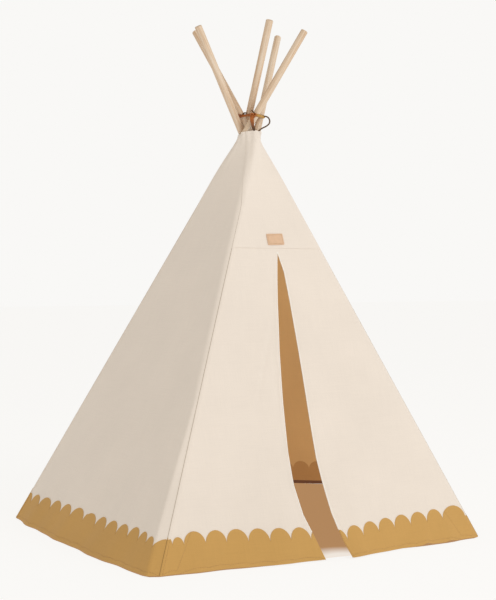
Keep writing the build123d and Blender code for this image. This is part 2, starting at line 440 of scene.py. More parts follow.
# ---------------------------------------------------------------- materials
class Tree:
    """One material's nodes. Wherever a value is given, it is a plain value or a socket to link."""

    def __init__(self, name):
        self.mat = bpy.data.materials.new(name)
        self.mat.use_nodes = True
        self.nodes = self.mat.node_tree.nodes
        self.shader = self.nodes["Principled BSDF"]

    def feed(self, socket, value):
        if hasattr(value, "is_linked"):
            self.mat.node_tree.links.new(value, socket)
        else:
            socket.default_value = value

    def shade(self, **values):
        """Feeds the shader's own sockets."""
        for name, value in values.items():
            self.feed(self.shader.inputs[name.replace("_", " ")], value)

    def add(self, kind, inputs, **settings):
        made = self.nodes.new(f"ShaderNode{kind}")
        for name, value in settings.items():
            setattr(made, name, value)
        for key, value in inputs.items():
            self.feed(made.inputs[key], value)
        return made

    def place(self, kind):
        return self.add("TexCoord", {}).outputs[kind]

    def split(self, vector):
        return self.add("SeparateXYZ", {0: vector}).outputs

    def math(self, operation, *values):
        return self.add("Math", dict(enumerate(values)), operation=operation).outputs[0]

    def noise(self, vector, **values):
        return self.add("TexNoise", {"Vector": vector, **values}).outputs[0]

    def mix(self, share, low, high, blend="MIX"):
        return self.add("Mix", {0: share, 6: low, 7: high}, data_type="RGBA", blend_type=blend).outputs[2]

    def spread(self, value, low, high, source=(0.0, 1.0)):
        """The value, moved from the source range to low and high."""
        inputs = {"Value": value, "From Min": source[0], "From Max": source[1], "To Min": low, "To Max": high}
        return self.add("MapRange", inputs).outputs[0]

    def bump(self, height, strength, distance):
        made = self.add("Bump", {"Height": height, "Strength": strength, "Distance": distance})
        self.shade(Normal=made.outputs[0])


def srgb(code):
    parts = [int(code[i:i + 2], 16) / 255 for i in (0, 2, 4)]
    return tuple(c / 12.92 if c <= 0.04045 else ((c + 0.055) / 1.055) ** 2.4 for c in parts) + (1.0,)


def tone(colour, gain):
    return tuple(min(1.0, c * gain) for c in colour[:3]) + (1.0,)


def weave_height(t, uv):
    """A plain weave: crests of two crossing sets of threads, with uneven thread thickness."""
    wobble = t.math("MULTIPLY", t.noise(uv, Scale=260.0, Detail=2.0), 1.6)
    crests = []
    for along in list(t.split(uv))[:2]:
        thread = t.math("ADD", t.math("MULTIPLY", along, THREADS_PER_M * math.pi), wobble)
        crests.append(t.math("ABSOLUTE", t.math("SINE", thread)))
    return t.math("MAXIMUM", *crests)


def fabric(name, colour, bump=0.25, mottle=0.035, sheen=0.25, band=None):
    """Woven cotton: thread crests, slubs, mottling and a dry velvety sheen. Only the lining has a band, a
    painted shade where the hem band on the outer face stops the light through the cloth.
    """
    t = Tree(name)
    uv = t.place("UV")
    height = weave_height(t, uv)
    blotch = t.noise(t.place("Object"), Scale=5.0, Detail=5.0, Roughness=0.6)
    total = blotch
    for stretch in ((420, 14, 1), (14, 420, 1)):
        streak = t.noise(t.add("Mapping", {"Vector": uv, "Scale": stretch}).outputs[0], Scale=1.0, Detail=3.0)
        total = t.math("ADD", total, t.math("MULTIPLY", streak, 0.5))
    share = t.spread(total, 0.0, 1.0, (0.7, 1.3))
    shade = t.mix(share, tone(colour, 1 - mottle), tone(colour, 1 + mottle))
    if band is not None:
        # Painted shade: the lining is darker under the scallops, where the hem band outside stops more of the
        # light through the cloth.
        shade = t.mix(scallop_shade_mask(t, uv), shade, band)
        # Painted shadow: a dark strip along the foot of the lining, where the hem meets the floor.
        shade = t.mix(t.math("LESS_THAN", t.split(uv)[1], HEM_SHADOW_V), shade, srgb("6a4630"))
    # The base colour is up to 10% darker in the hollows between the threads: painted shade.
    t.shade(Base_Color=t.mix(0.10, shade, height, "MULTIPLY"), Roughness=t.spread(blotch, 0.82, 0.95),
            Sheen_Weight=sheen, Sheen_Roughness=0.6, Specular_IOR_Level=0.2)
    t.bump(height, bump, 0.0003)
    return t.mat


def scallop_shade_mask(t, uv):
    """1 under the row of scallops of the hem band on the other face of the cloth, where the lining gets its
    painted shade.
    """
    across, up, _ = t.split(uv)
    part = t.math("FRACT", t.math("DIVIDE", across, PITCH))
    centred = t.math("MULTIPLY", t.math("SUBTRACT", part, 0.5), 2.0)
    dome = t.math("SQRT", t.math("SUBTRACT", 1.0, t.math("MULTIPLY", centred, centred)))
    return t.math("LESS_THAN", up, t.math("ADD", t.math("MULTIPLY", dome, SCALLOP_H), VALLEY_V))


def leather(name, colour, rough=0.6, edge=0.75, tints=()):
    """Grained leather. Each tint is an axis, where it starts and ends along it, and a colour."""
    t = Tree(name)
    place = t.place("Object")
    cells = t.add("TexVoronoi", {"Vector": place, "Scale": 900.0}).outputs["Distance"]
    cloud = t.noise(place, Scale=108.0, Detail=6.0, Roughness=0.65)
    shade = t.mix(cloud, tone(colour, edge), tone(colour, 1.12))
    for axis, start, end, code in tints:
        shade = t.mix(t.spread(t.split(place)[axis], 0.0, 1.0, (start, end)), shade, srgb(code))
    t.shade(Base_Color=shade, Roughness=t.spread(cloud, rough - 0.1, rough + 0.15))
    t.bump(cells, 0.35, 0.0002)
    return t.mat


def pine(name, axis, seed):
    """Sanded pine with its grain along the pole: growth bands, fine fibres and a few darker streaks."""
    t = Tree(name)
    turn = Vector((0, 0, 1)).rotation_difference(Vector(axis)).inverted().to_euler()
    offset = (seed * 0.37, seed * 0.11, seed * 0.53)
    along = t.add("Mapping", {"Vector": t.place("Object"), "Rotation": turn, "Location": offset}).outputs[0]
    stretch = t.add("VectorMath", {0: along, 1: (1, 1, 0.035)}, operation="MULTIPLY").outputs[0]
    bands = t.noise(stretch, Scale=190.0, Detail=3.0, Distortion=0.6)
    fibres = t.noise(stretch, Scale=1500.0, Detail=2.0)
    cloud = t.noise(along, Scale=9.0, Detail=3.0)
    ramp = t.add("ValToRGB", {0: bands})
    stops = ramp.color_ramp.elements
    stops[0].position, stops[0].color = 0.30, srgb("d9b48e")
    stops[1].position, stops[1].color = 0.72, srgb("f3e0ca")
    stops.new(0.5).color = srgb("ebd0b2")
    tint = t.mix(0.28, ramp.outputs[0], fibres, "MULTIPLY")
    t.shade(Base_Color=t.mix(0.35, tint, cloud, "SOFT_LIGHT"), Roughness=t.spread(bands, 0.42, 0.6))
    t.bump(bands, 0.25, 0.0002)
    return t.mat


THREADS_PER_M = 1100
# The lace turns golden towards its right end, and darker towards the bottom of the tail.
LACE_TINTS = ((0, 0.001, 0.011, "b98a38"), (2, 1.128, 1.104, "4c2d0c"))
CANVAS = fabric("cream_canvas", srgb("efe3d6"))
BAND = fabric("ochre_band", srgb("cda05c"), mottle=0.05, sheen=0.08)
# The lining's darker band colour is painted shade, cast through the cloth by the hem band.
LINING = fabric("ochre_lining", srgb("cdae7b"), mottle=0.05, band=srgb("b28d5a"))
SLEEVE = fabric("ochre_sleeve", srgb("bd955f"), mottle=0.05)
CREAM_THREAD = fabric("cream_thread", srgb("f2e8dc"), bump=0.1)
OCHRE_THREAD = fabric("ochre_thread", srgb("b08650"), bump=0.1)
# A lighter copy of the cream canvas for the flaps' rolled edges: painted highlight where the edges catch the
# light.
EDGE_HIGHLIGHT = fabric("cream_edge_highlight", srgb("fbf4ea"), bump=0.1)
# Darker copies of the canvas and the band: painted shade of the fold beside each corner seam.
CREAM_FOLD_SHADE = fabric("cream_fold_shade_line", srgb("a8977f"), bump=0.1)
OCHRE_FOLD_SHADE = fabric("ochre_fold_shade_line", srgb("8a6532"), bump=0.1)
LABEL_LEATHER = leather("label_leather", srgb("dfb997"), edge=0.86)
LACE_LEATHER = leather("lace_leather", srgb("b05f16"), rough=0.45, edge=0.6, tints=LACE_TINTS)
THONG_LEATHER = leather("thong_leather", srgb("5c3d16"), edge=0.7)

# ---------------------------------------------------------------- stitches
STITCH = np.array([(-1, 0, 0), (-0.6, 1, 0), (-0.6, 0, 1), (-0.6, -1, 0), (-0.6, 0, -1), (0.6, 1, 0),
                   (0.6, 0, 1), (0.6, -1, 0), (0.6, 0, -1), (1, 0, 0)], float)
STITCH_FACES = [(0, 2, 1), (0, 3, 2), (0, 4, 3), (0, 1, 4),
                (1, 2, 6, 5), (2, 3, 7, 6), (3, 4, 8, 7), (4, 1, 5, 8),
                (9, 5, 6), (9, 6, 7), (9, 7, 8), (9, 8, 5)]
STITCH_PITCH, STITCH_LENGTH, STITCH_R = 0.0042, 0.0029, 0.00033


class Thread:
    """Rows of stitches that lie on one piece of cloth, gathered into one object."""

    def __init__(self, name, material):
        self.name, self.material = name, material
        self.points, self.faces = [], []

    def row(self, line, outs):
        """Stitches along a line, given what way the cloth faces at each of its points."""
        line, outs = np.asarray(line, float), np.asarray(outs, float)
        along = lengths_along(line)

        def point_at(values, distance):
            return np.array([np.interp(distance, along, values[:, i]) for i in range(3)])

        for k in range(int(along[-1] / STITCH_PITCH)):
            at = (k + 0.5) * STITCH_PITCH
            a, b = (point_at(line, at + d) for d in (-STITCH_LENGTH / 2, STITCH_LENGTH / 2))
            out = point_at(outs, at)
            if np.linalg.norm(b - a) < 1e-6:
                continue
            way = unit(b - a)
            out = unit(out - way * (out @ way))
            side = np.cross(out, way)
            centre = (a + b) / 2 + out * STITCH_R * 0.5
            base = len(self.points)
            for x, y, z in STITCH:
                self.points.append(centre + way * x * STITCH_LENGTH / 2 + (side * y + out * z) * STITCH_R)
            self.faces += [tuple(base + i for i in f) for f in STITCH_FACES]

    def make(self):
        return mesh_object(self.name, self.points, self.faces, np.zeros((len(self.points), 2)), self.material)


# ---------------------------------------------------------------- baking pieces in place, body names, wall and door panels
def pole_blend(obj, wall, side):
    """Bakes the piece's transform into its mesh. The pole's foot and axis and the way across the wall are
    worked out, but not used.
    """
    pole = pole_of(wall, side)
    low, way = pole_at(pole, 0.0), pole_axis(pole)[1]
    a, b = WALLS[wall]
    across = pole_at(b, 0.0) - pole_at(a, 0.0)
    if side == "b":
        across = -across
    across = unit(across - way * (across @ way))
    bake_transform(obj)


def pole_of(wall, side):
    return WALLS[wall]["ab".index(side)]


def body_name(wall, side):
    pole = pole_of(wall, side)
    return f"{pole}_half" if wall == "front" else f"{wall}_wall_by_{pole}_pole"


def free_edge(side, z, column):
    """One column of FLAP_EDGES at height z: 1 is the place across the front, 2 how far out it stands."""
    table = sorted(FLAP_EDGES[side])
    return float(np.interp(z, [r[0] for r in table], [r[column] for r in table]))


def free_u(side, z):
    return free_edge(side, z, 1)


def crease_u(side, z):
    """Where the crease is, across from the front's middle, at height z."""
    reach = CREASE_FOOT_U * (1 - min(z / SLIT_Z, 1.0))
    if side == "left":
        return -reach
    return max(reach, free_u(side, min(z, SLIT_Z)) + 0.0004) if z <= SLIT_Z else 0.0


def flap_stand(side, z, u):
    """How far the flap stands out of the wall at u."""
    edge, root = free_u(side, z), crease_u(side, z)
    share = np.clip((np.asarray(u, float) - root) / (edge - root + 1e-9), 0, 1.15)
    return free_edge(side, z, 2) * share**2.2


def wall_mid(sec, wall):
    start, mid, end = wall_span(sec, wall)
    return mid - start, end - start


def u_row(wall, z, u, layer_out=0.0, stand=0.0):
    """Points of a wall at distances u from its middle, at height z."""
    middle, _ = wall_mid(section(z), wall)
    return row_on_wall(wall, z, middle + np.asarray(u, float), layer_out, stand)


def seam_u(wall, side, z):
    """The corner seam's distance from the wall's middle at height z, without a sign."""
    middle, width = wall_mid(section(z), wall)
    return middle if side == "a" else width - middle


ROWS = np.concatenate([np.linspace(HEM_Z, 0.13, 14), np.linspace(0.13, TOP_Z, 52)[1:]])
SIGN = {"a": -1, "b": 1}
SIDE_OF = {"left": "a", "right": "b"}
HAND_OF = {"a": "left", "b": "right"}


def half_panel(wall, side, rows, layer_out, hand=None):
    """A grid from the corner seam to the wall's middle, or to the crease of the door on that hand."""
    grid, uv = [], []
    for z in rows:
        outer = seam_u(wall, side, z)
        near = 0.0 if hand is None else abs(crease_u(hand, z))
        u = SIGN[side] * (outer - half_columns(outer - near, 48))
        grid.append(u_row(wall, z, u, layer_out))
        uv.append(flat_row(np.abs(u), z))
    return mouth_lift(np.array(grid)), np.array(uv)


def flap_panel(side, layer_out):
    grid, uv = [], []
    rows = np.concatenate([ROWS[ROWS < SLIT_Z], [SLIT_Z]])
    for z in rows:
        u = np.linspace(crease_u(side, z), free_u(side, z), 34)
        grid.append(u_row("front", z, u, layer_out, flap_stand(side, z, u)))
        uv.append(flat_row(np.abs(u), z))
    return np.array(grid), np.array(uv)


# ---------------------------------------------------------------- hem band
FRONT_VALLEYS = {"a": (0.049, 0.0530, 7, 0.395), "b": (0.045, 0.0499, 7, 0.4185)}  # first, pitch, count, last
PEAK_Z = (VALLEY_V + SCALLOP_H) * RISE


def valleys(wall, side):
    """The scallops' valleys as distances from the wall's middle, then the peak that the corner seam meets."""
    peak = seam_u(wall, side, PEAK_Z)
    if wall == "front":
        first, pitch, count, last = FRONT_VALLEYS[side]
        found = [first - pitch] + [first + pitch * k for k in range(count)]
        return [v for v in found if v < last - 0.01] + [min(last, peak - 0.0005)], peak
    if wall == "left":
        place, width, growth, widest = LEFT_SCALLOPS
        found = [place]
        while place > -0.38:
            place -= width
            width = min(width + growth, widest)
            found.append(place)
        signed = found[::-1] if side == "b" else [-v for v in found]
        return [v for v in signed if -widest < v < peak - 0.01], peak
    if wall == "right" and side == "a":  # a valley at the front right corner
        count = round(peak / PITCH)
        return [peak / count * k for k in range(count)] + [peak - 0.0005], peak
    count = round(peak / PITCH - 0.5)
    pitch = peak / (count + 0.5)
    return [pitch * k for k in range(count + 1)], peak


def edge_z(wall, side, u):
    """Height of the band's scalloped edge at distances u from the wall's middle."""
    found, peak = valleys(wall, side)
    marks = np.array(found + [2 * peak - found[-1]])
    k = np.clip(np.searchsorted(marks, u, side="right") - 1, 0, len(marks) - 2)
    low, high = marks[k], marks[k + 1]
    part = np.clip((u - low) / (high - low), 0, 1)
    dome = np.sqrt(np.maximum(0, 1 - (2 * part - 1) ** 2))
    tall = SCALLOP_H * np.clip(1.2 * (high - low) / PITCH, 0.1, 1.0)
    corner = CORNER_SCALLOP_H.get(pole_of(wall, side), SCALLOP_H)
    tall = np.where(k == len(marks) - 2, corner, tall)
    sway = 0.002 * np.sin(u * 9 + PHASE[wall])
    near, far = VALLEY_UP.get(wall + side, (VALLEY_V, VALLEY_V + 0.002))
    valley = near + (far - near) * np.clip((u - 0.09) / 0.3, -0.2, 1.0)
    return (valley + sway + tall * dome) * RISE


def band_columns(wall, side, low, high):
    found, peak = valleys(wall, side)
    marks = found + [2 * peak - found[-1]]
    if wall == "front":
        marks = [marks[0] - PITCH * k for k in (2, 1)] + marks
    ease = 0.5 - 0.5 * np.cos(np.linspace(0, math.pi, 13))
    u = [a + (b - a) * ease for a, b in zip(marks, marks[1:])]
    u = np.concatenate(u + [[low, high], np.arange(low, high, 0.004)])
    u = np.unique(np.round(u, 5))
    u = u[(u >= low) & (u <= high)]
    return u[np.concatenate([[True], np.diff(u) > 0.0002])]


def height_where(function, u, low, high):
    """For each u, the height where function(z), which falls with z, equals u."""
    heights = np.linspace(low, high, 60)
    values = np.array([function(z) for z in heights])
    return np.interp(u, values[::-1], heights[::-1])


def band_panel(wall, side, u, bottom, top, hand=None):
    """A grid whose columns stand at u, from bottom to top, on the wall or on a hand's flap."""
    levels, step_z = 9, 0.003
    grid = np.zeros((levels + 1, len(u), 3))
    uv = np.zeros((levels + 1, len(u), 2))
    for k in range(levels + 1):
        z_row = bottom + (top - bottom) * k / levels
        coarse = np.floor(z_row / step_z).astype(int)
        for step in np.unique(coarse):
            picked = coarse == step
            at = SIGN[side] * u[picked]
            pair = []
            for z in (step * step_z, step * step_z + step_z):
                ahead = 0.0 if hand is None else flap_stand(hand, z, at)
                pair.append(u_row(wall, z, at, BAND_OUT, ahead))
            share = (z_row[picked] / step_z - step)[:, None]
            grid[k, picked] = pair[0] * (1 - share) + pair[1] * share
        uv[k] = np.stack([u, z_row / RISE], axis=1)
    return grid, uv


# ---------------------------------------------------------------- the cover
SEAM_WIDTH = 0.0075


def normals_of(grid, flip):
    a = np.gradient(grid, axis=1)
    b = np.gradient(grid, axis=0)
    n = np.cross(a, b) * (-1 if flip else 1)
    return unit(n)


def stitch_line(thread, grid, flip, picks, lift=0.0):
    """A row of stitches through grid points given as (row, column)."""
    outs = normals_of(grid, flip)
    line = np.array([grid[r, c] for r, c in picks])
    out = np.array([outs[r, c] for r, c in picks])
    thread.row(line + out * lift, out)


def on_half(obj, wall, side, slot, *nodes):
    pole_blend(obj, wall, side)
    if nodes:
        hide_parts(*nodes)


def sheet_on_half(obj, wall, side, slot, node_name):
    on_half(obj, wall, side, slot, node_name)
    declare_sheet(obj)


def on_body(obj, body, slot, *nodes):
    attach(obj, body)
    if nodes:
        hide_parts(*nodes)


def column_from_end(grid, row, distance):
    """The column whose point is that far from the end of the row."""
    line = grid[row][::-1]
    return len(line) - 1 - int(np.argmin(np.abs(lengths_along(line) - distance)))


def band_top_at(pole):
    """The band's height where it meets the corner seam."""
    ends = ((wall_before(pole), "b"), (wall_after(pole), "a"))
    return min(float(edge_z(w, side, np.array([seam_u(w, side, PEAK_Z)]))[0]) for w, side in ends)


def seam_roll(name, wall, rows, low):
    """The rolled seam allowance along a corner, and beside it a thin dark line of painted shade for the
    seam's fold. The low one is ochre.
    """
    material, fold_shade_line_material, thread_material = ((BAND, OCHRE_FOLD_SHADE, OCHRE_THREAD) if low else
                                                (CANVAS, CREAM_FOLD_SHADE, CREAM_THREAD))
    lift = BAND_OUT if low else 0.0
    across = np.linspace(0, 1, 7)
    dome = 0.0010 * np.sin(np.pi * across) ** 0.6
    grid, uv = [], []
    for z in rows:
        u = -(seam_u(wall, "a", z) - SEAM_WIDTH * across)
        grid.append(u_row(wall, z, u, dome + lift + 0.0001))
        uv.append(flat_row(across * SEAM_WIDTH, z))
    grid, uv = mouth_lift(np.array(grid)), np.array(uv)
    obj = cloth_object(name, grid, uv, material, False, 0.0004)
    thread = Thread(f"{name}_stitches", thread_material)
    stitch_line(thread, grid, False, [(r, 5) for r in range(len(rows))])
    # A thin darker roll at the seam's edge: painted shade of the fold.
    fold_shade_line = edge_roll(f"{name}_tuck", grid[:, 0], fold_shade_line_material, 0.0005)
    for piece in (obj, thread.make(), fold_shade_line):
        on_body(piece, f"{WALLS[wall][0]}_pole", "ochre_band" if low else "cream_canvas")


def half_parts(wall, side):
    """A wall half's panels: name, rows, hand of the crease that ends it, lift, stitched rows, CAD nodes."""
    body = body_name(wall, side)
    if wall != "front":
        return [(body, ROWS, None, 0.0, (-2,), (f"{body}_canvas", f"{body}_lining"))]
    hand = HAND_OF[side]
    head_rows = np.concatenate([[HEADER_Z - 0.007], ROWS[ROWS > HEADER_Z]])
    side_rows = np.concatenate([ROWS[ROWS < SLIT_Z - 0.001], [SLIT_Z, SLIT_Z + 0.0006, HEADER_Z + 0.004]])
    head_nodes = (f"header_{hand}_canvas", f"front_{hand}_header_lining")
    side_nodes = (f"front_{hand}_side_canvas", f"front_{hand}_side_lining")
    return [(f"{body}_header", head_rows, None, 0.0009, (0, -2), head_nodes),
            (f"{body}_side", side_rows, hand, 0.0, (), side_nodes)]


def make_half(wall, side):
    flip = side == "b"
    for name, rows, hand, lift, stitched, (canvas_node, lining_node) in half_parts(wall, side):
        grid, uv = half_panel(wall, side, rows, lift, hand)
        cloth = cloth_object(f"{name}_cloth", grid, uv, CANVAS, flip)
        sheet_on_half(cloth, wall, side, "cream_canvas", canvas_node)
        thread = Thread(f"{name}_stitches", CREAM_THREAD)
        for row in stitched:
            stitch_line(thread, grid, flip, [(row, c) for c in range(grid.shape[1])])
        if stitched:
            on_half(thread.make(), wall, side, "cream_canvas")
        inside, inside_uv = half_panel(wall, side, rows[rows <= LINING_TOP], -LINING_IN - CLOTH, hand)
        if rows[0] == HEM_Z:
            inside[0, :, 2] += FRONT_LINING_UP if wall == "front" else -WALL_LINING_DOWN
        lining = cloth_object(f"{name}_inside", inside, inside_uv, LINING, flip, 0.0005)
        sheet_on_half(lining, wall, side, "ochre_lining", lining_node)
    make_band(wall, side)


def top_of_band(wall, side, u):
    """The band's top edge, cut off by the corner seam."""
    edge = edge_z(wall, side, u)
    seam = height_where(lambda z: seam_u(wall, side, z), u, HEM_Z, 0.12)
    return np.where(u >= seam_u(wall, side, 0.12), np.minimum(edge, seam), edge)


def crease_height(hand, u):
    """For each distance u from the front's middle, the height at which the door's crease is there."""
    return height_where(lambda z: abs(crease_u(hand, z)), u, HEM_Z, 0.14)


def band_object(name, wall, side, u, bottom, top, hand=None):
    """The band and its stitches."""
    flip = side == "a"
    grid, uv = band_panel(wall, side, u, np.minimum(bottom, top), np.maximum(top, HEM_Z), hand)
    obj = cloth_object(f"{name}_scallops", grid, uv, BAND, flip, 0.0005)
    thread = Thread(f"{name}_scallop_stitches", OCHRE_THREAD)
    outs = normals_of(grid, flip)
    thread.row(grid[-1] + np.array([0, 0, -0.0022]), outs[-2])
    thread.row(grid[1], outs[1])
    return obj, thread.make()


def make_band(wall, side):
    """The band on a wall half, which on the front ends at the door's crease."""
    name = body_name(wall, side)
    full = seam_u(wall, side, HEM_Z)
    if wall == "front":
        hand = HAND_OF[side]
        u = band_columns(wall, side, abs(crease_u(hand, 0.10)), full)
        bottom = np.where(u >= abs(crease_u(hand, HEM_Z)), HEM_Z, crease_height(hand, u))
        name, node_name = f"{name}_side", f"front_{hand}_side_hem_band"
    else:
        u = band_columns(wall, side, 0.0, full)
        bottom, node_name = np.full(len(u), HEM_Z), f"{name}_hem_band"
    obj, thread = band_object(name, wall, side, u, bottom, top_of_band(wall, side, u))
    sheet_on_half(obj, wall, side, "ochre_band", node_name)
    on_half(thread, wall, side, "ochre_band")


def edge_roll(name, line, material, radius=0.0013):
    """A narrow rolled hem along an edge."""
    way = unit(np.gradient(line, axis=0))
    side = unit(np.cross(way, np.array([0, -1.0, 0.3])))
    out = np.cross(side, way)
    around = 8
    grid = np.array([line + side * radius * math.cos(a) + out * radius * 0.9 * math.sin(a)
                     for a in np.linspace(0, 2 * math.pi, around + 1)]).transpose(1, 0, 2)
    flat = np.zeros((len(line), around + 1, 2))
    flat[:, :, 0] = np.linspace(0, 0.008, around + 1)
    flat[:, :, 1] = (line[:, 2] / RISE)[:, None]
    points = grid.reshape(-1, 3)
    faces = drop_flat(points, grid_faces(*grid.shape[:2], flip=True))
    points, faces, flat = compact(points, faces, flat.reshape(-1, 2))
    return mesh_object(name, points, faces, flat, material)


def door_blend(obj, hand):
    """Bakes the piece's transform into its mesh. The crease's line and the way into the front are worked out,
    but not used.
    """
    sign = SIGN[SIDE_OF[hand]]
    foot = u_row("front", 0.02, np.array([crease_u(hand, 0.02)]))[0]
    high = u_row("front", 0.70, np.array([crease_u(hand, 0.70)]))[0]
    middle = u_row("front", 0.02, np.array([crease_u(hand, 0.02) - sign * 0.2]))[0]
    way = unit(high - foot)
    into = middle - foot
    into = unit(into - way * (into @ way))
    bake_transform(obj)


def make_flap(hand):
    side = SIDE_OF[hand]
    flip = side == "b"
    grid, uv = flap_panel(hand, 0.0)
    cloth = cloth_object(f"door_{hand}_cloth", grid, uv, CANVAS, flip)
    inside, inside_uv = flap_panel(hand, -LINING_IN)
    lining = cloth_object(f"door_{hand}_inside", inside, inside_uv, LINING, flip, 0.0005)
    thread = Thread(f"door_{hand}_stitches", CREAM_THREAD)
    rows = range(len(grid) - 1)
    stitch_line(thread, grid, flip, [(r, column_from_end(grid, r, 0.008)) for r in rows])
    hem = thread.make()

    rim = grid[:, -1] + np.array([0, 0.0004, 0])
    change = int(np.argmax(rim[:, 2] > 0.055))
    # The rolled edge is ochre low down and a lighter cream above; the lighter cream is a painted highlight.
    rolls = [edge_roll(f"door_{hand}_edge_low", rim[:change + 1], BAND),
             edge_roll(f"door_{hand}_edge", rim[change:], EDGE_HIGHLIGHT, 0.0017)]

    sign = SIGN[side]
    heights = np.linspace(HEM_Z, 0.10, 60)
    edges = np.array([sign * free_u(hand, z) for z in heights])
    u = band_columns("front", side, edges.min(), abs(crease_u(hand, HEM_Z)))
    top = np.minimum(edge_z("front", side, u), crease_height(hand, u))
    bottom = np.full(len(u), HEM_Z)
    if edges[0] < edges[-1]:  # the free edge leans away from the middle as it rises
        top = np.where(u < edges[-1], np.minimum(top, np.interp(u, edges, heights)), top)
    else:
        bottom = np.where(u < edges[0], np.interp(u, edges[::-1], heights[::-1]), bottom)
    band, band_thread = band_object(f"door_{hand}", "front", side, u, bottom, top, hand)
    for obj, slot, nodes in ((cloth, "cream_canvas", [f"door_{hand}_canvas"]),
                             (lining, "ochre_lining", [f"door_{hand}_lining"]),
                             (band, "ochre_band", [f"door_{hand}_hem_band"]),
                             (hem, "cream_canvas", []), (band_thread, "ochre_band", []),
                             (rolls[0], "ochre_band", []), (rolls[1], "cream_canvas", [])):
        door_blend(obj, hand)
        if nodes:
            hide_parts(*nodes)
    for obj in (cloth, lining, band):
        declare_sheet(obj)


# ---------------------------------------------------------------- sleeves and crown
SLEEVE_Z, SLEEVE_R = (0.018, 0.980), 0.0112


def sleeve_grid(name):
    """A cloth tube round a pole, with soft wrinkles."""
    way = pole_axis(name)[1]
    side = unit(np.cross(way, [0, 0, 1.0]))
    front = np.cross(side, way)
    turns = np.linspace(0, 2 * math.pi, 23)
    grid, uv = [], []
    for z in np.linspace(*SLEEVE_Z, 90):
        fold = 0.00018 * np.sin(3 * turns + 31 * z) + 0.00012 * np.sin(7 * turns - 50 * z)
        r = SLEEVE_R + fold + 0.00012 * math.sin(z * 160)
        grid.append(pole_at(name, z) + np.outer(np.cos(turns) * r, side) + np.outer(np.sin(turns) * r, front))
        uv.append(flat_row(turns * SLEEVE_R, z))
    return np.array(grid), np.array(uv)


def make_sleeve(name):
    grid, uv = sleeve_grid(name)
    end = grid[0].mean(axis=0)
    way = pole_axis(name)[1]
    caps = []
    for share, drop in ((0.93, 0.006), (0.7, 0.0095), (0.35, 0.011), (0.0, 0.0115)):
        caps.append(end - way * drop + (grid[0] - end) * share)
    grid = np.concatenate([np.array(caps[::-1]), grid])
    cap_uv = np.repeat(uv[:1], len(caps), axis=0)
    cap_uv[:, :, 1] -= np.array([0.018, 0.014, 0.010, 0.005])[:, None]
    uv = np.concatenate([cap_uv, uv])
    obj = cloth_object(f"{name}_pocket", grid, uv, SLEEVE, True, 0.0006)
    on_body(obj, f"{name}_pole", "sleeve_canvas", f"{name}_sleeve")
    declare_sheet(obj)


def make_crown():
    """The facing sewn inside the mouth of the cover."""
    grid, uv = [], []
    for z in np.linspace(1.040, TOP_Z - 0.002, 12):
        sec = section(z)
        along = np.linspace(0, sec.girth, 181)
        places = sec.at(along) - sec.out(along) * 0.0022
        grid.append(np.concatenate([places, np.full((181, 1), z)], axis=1))
        uv.append(flat_row(along, z))
    grid = mouth_lift(np.array(grid))
    obj = cloth_object("mouth_facing", grid, np.array(uv), CANVAS, False, 0.0005)
    on_body(obj, "crown", "cream_canvas", "crown")
    declare_sheet(obj)


# ---------------------------------------------------------------- label
LABEL_U, LABEL_Z = 0.002, 0.78865
LABEL_HALF_W, LABEL_HALF_H = 0.0255, 0.0165
LABEL_TURN = math.radians(2.2)


def make_label():
    cols, rows, radius = 29, 19, 0.0022
    grid, uv = np.zeros((rows, cols, 3)), np.zeros((rows, cols, 2))
    for i, b in enumerate(np.linspace(-1, 1, rows)):
        for j, a in enumerate(np.linspace(-1, 1, cols)):
            x, y = a * LABEL_HALF_W, b * LABEL_HALF_H
            corner_x, corner_y = LABEL_HALF_W - radius, LABEL_HALF_H - radius
            if abs(x) > corner_x and abs(y) > corner_y:
                dx, dy = abs(x) - corner_x, abs(y) - corner_y
                k = min(1.0, radius / max(math.hypot(dx, dy), 1e-9))
                x = math.copysign(corner_x + dx * k, x)
                y = math.copysign(corner_y + dy * k, y)
            u = LABEL_U + x * math.cos(LABEL_TURN) - y * math.sin(LABEL_TURN)
            z = LABEL_Z + (x * math.sin(LABEL_TURN) + y * math.cos(LABEL_TURN)) * RISE
            edge = max(abs(a), abs(b))
            puff = 0.0016 + 0.0003 * math.sin(math.pi * (a + 1) / 2) - 0.0006 * max(0, edge - 0.9) / 0.1
            grid[i, j] = u_row("front", z, np.array([u]), 0.0016 + puff)[0]
            uv[i, j] = (x, y)
    obj = cloth_object("label_patch", grid, uv, LABEL_LEATHER, False, 0.0012)
    thread = Thread("label_stitches", OCHRE_THREAD)
    ring = [(2, c) for c in range(2, cols - 2)] + [(r, cols - 3) for r in range(2, rows - 2)]
    ring += [(rows - 3, c) for c in range(cols - 3, 1, -1)] + [(r, 2) for r in range(rows - 3, 1, -1)]
    stitch_line(thread, grid, False, ring, 0.0001)
    on_body(obj, "front_right_half", "label_leather", "label")
    on_body(thread.make(), "front_right_half", "label_leather")


# ---------------------------------------------------------------- lace
LACE_POLES = ["front_left", "front_right", "rear", "left"]
LACE_Z, LACE_HALF_H, LACE_T = 1.1464, 0.0056, 0.0018
LACE_CLEAR = 0.0122
KNOT_AT = np.array([-0.0052, -0.0426, 1.1405])
LOOP_ROUTE = [(0.0284, -0.0409, 1.1405), (0.0395, -0.0460, 1.1405), (0.0450, -0.0495, 1.1230),
              (0.0338, -0.0480, 1.1116), (0.0195, -0.0440, 1.1055), (0.0125, -0.0400, 1.0985)]
TAIL_ROUTE = [(-0.0086, -0.042, 1.143), (-0.008, -0.042, 1.131), (-0.0045, -0.0405, 1.119),
              (0.0005, -0.038, 1.107), (0.003, -0.0374, 1.096)]
CORD_D = 0.004


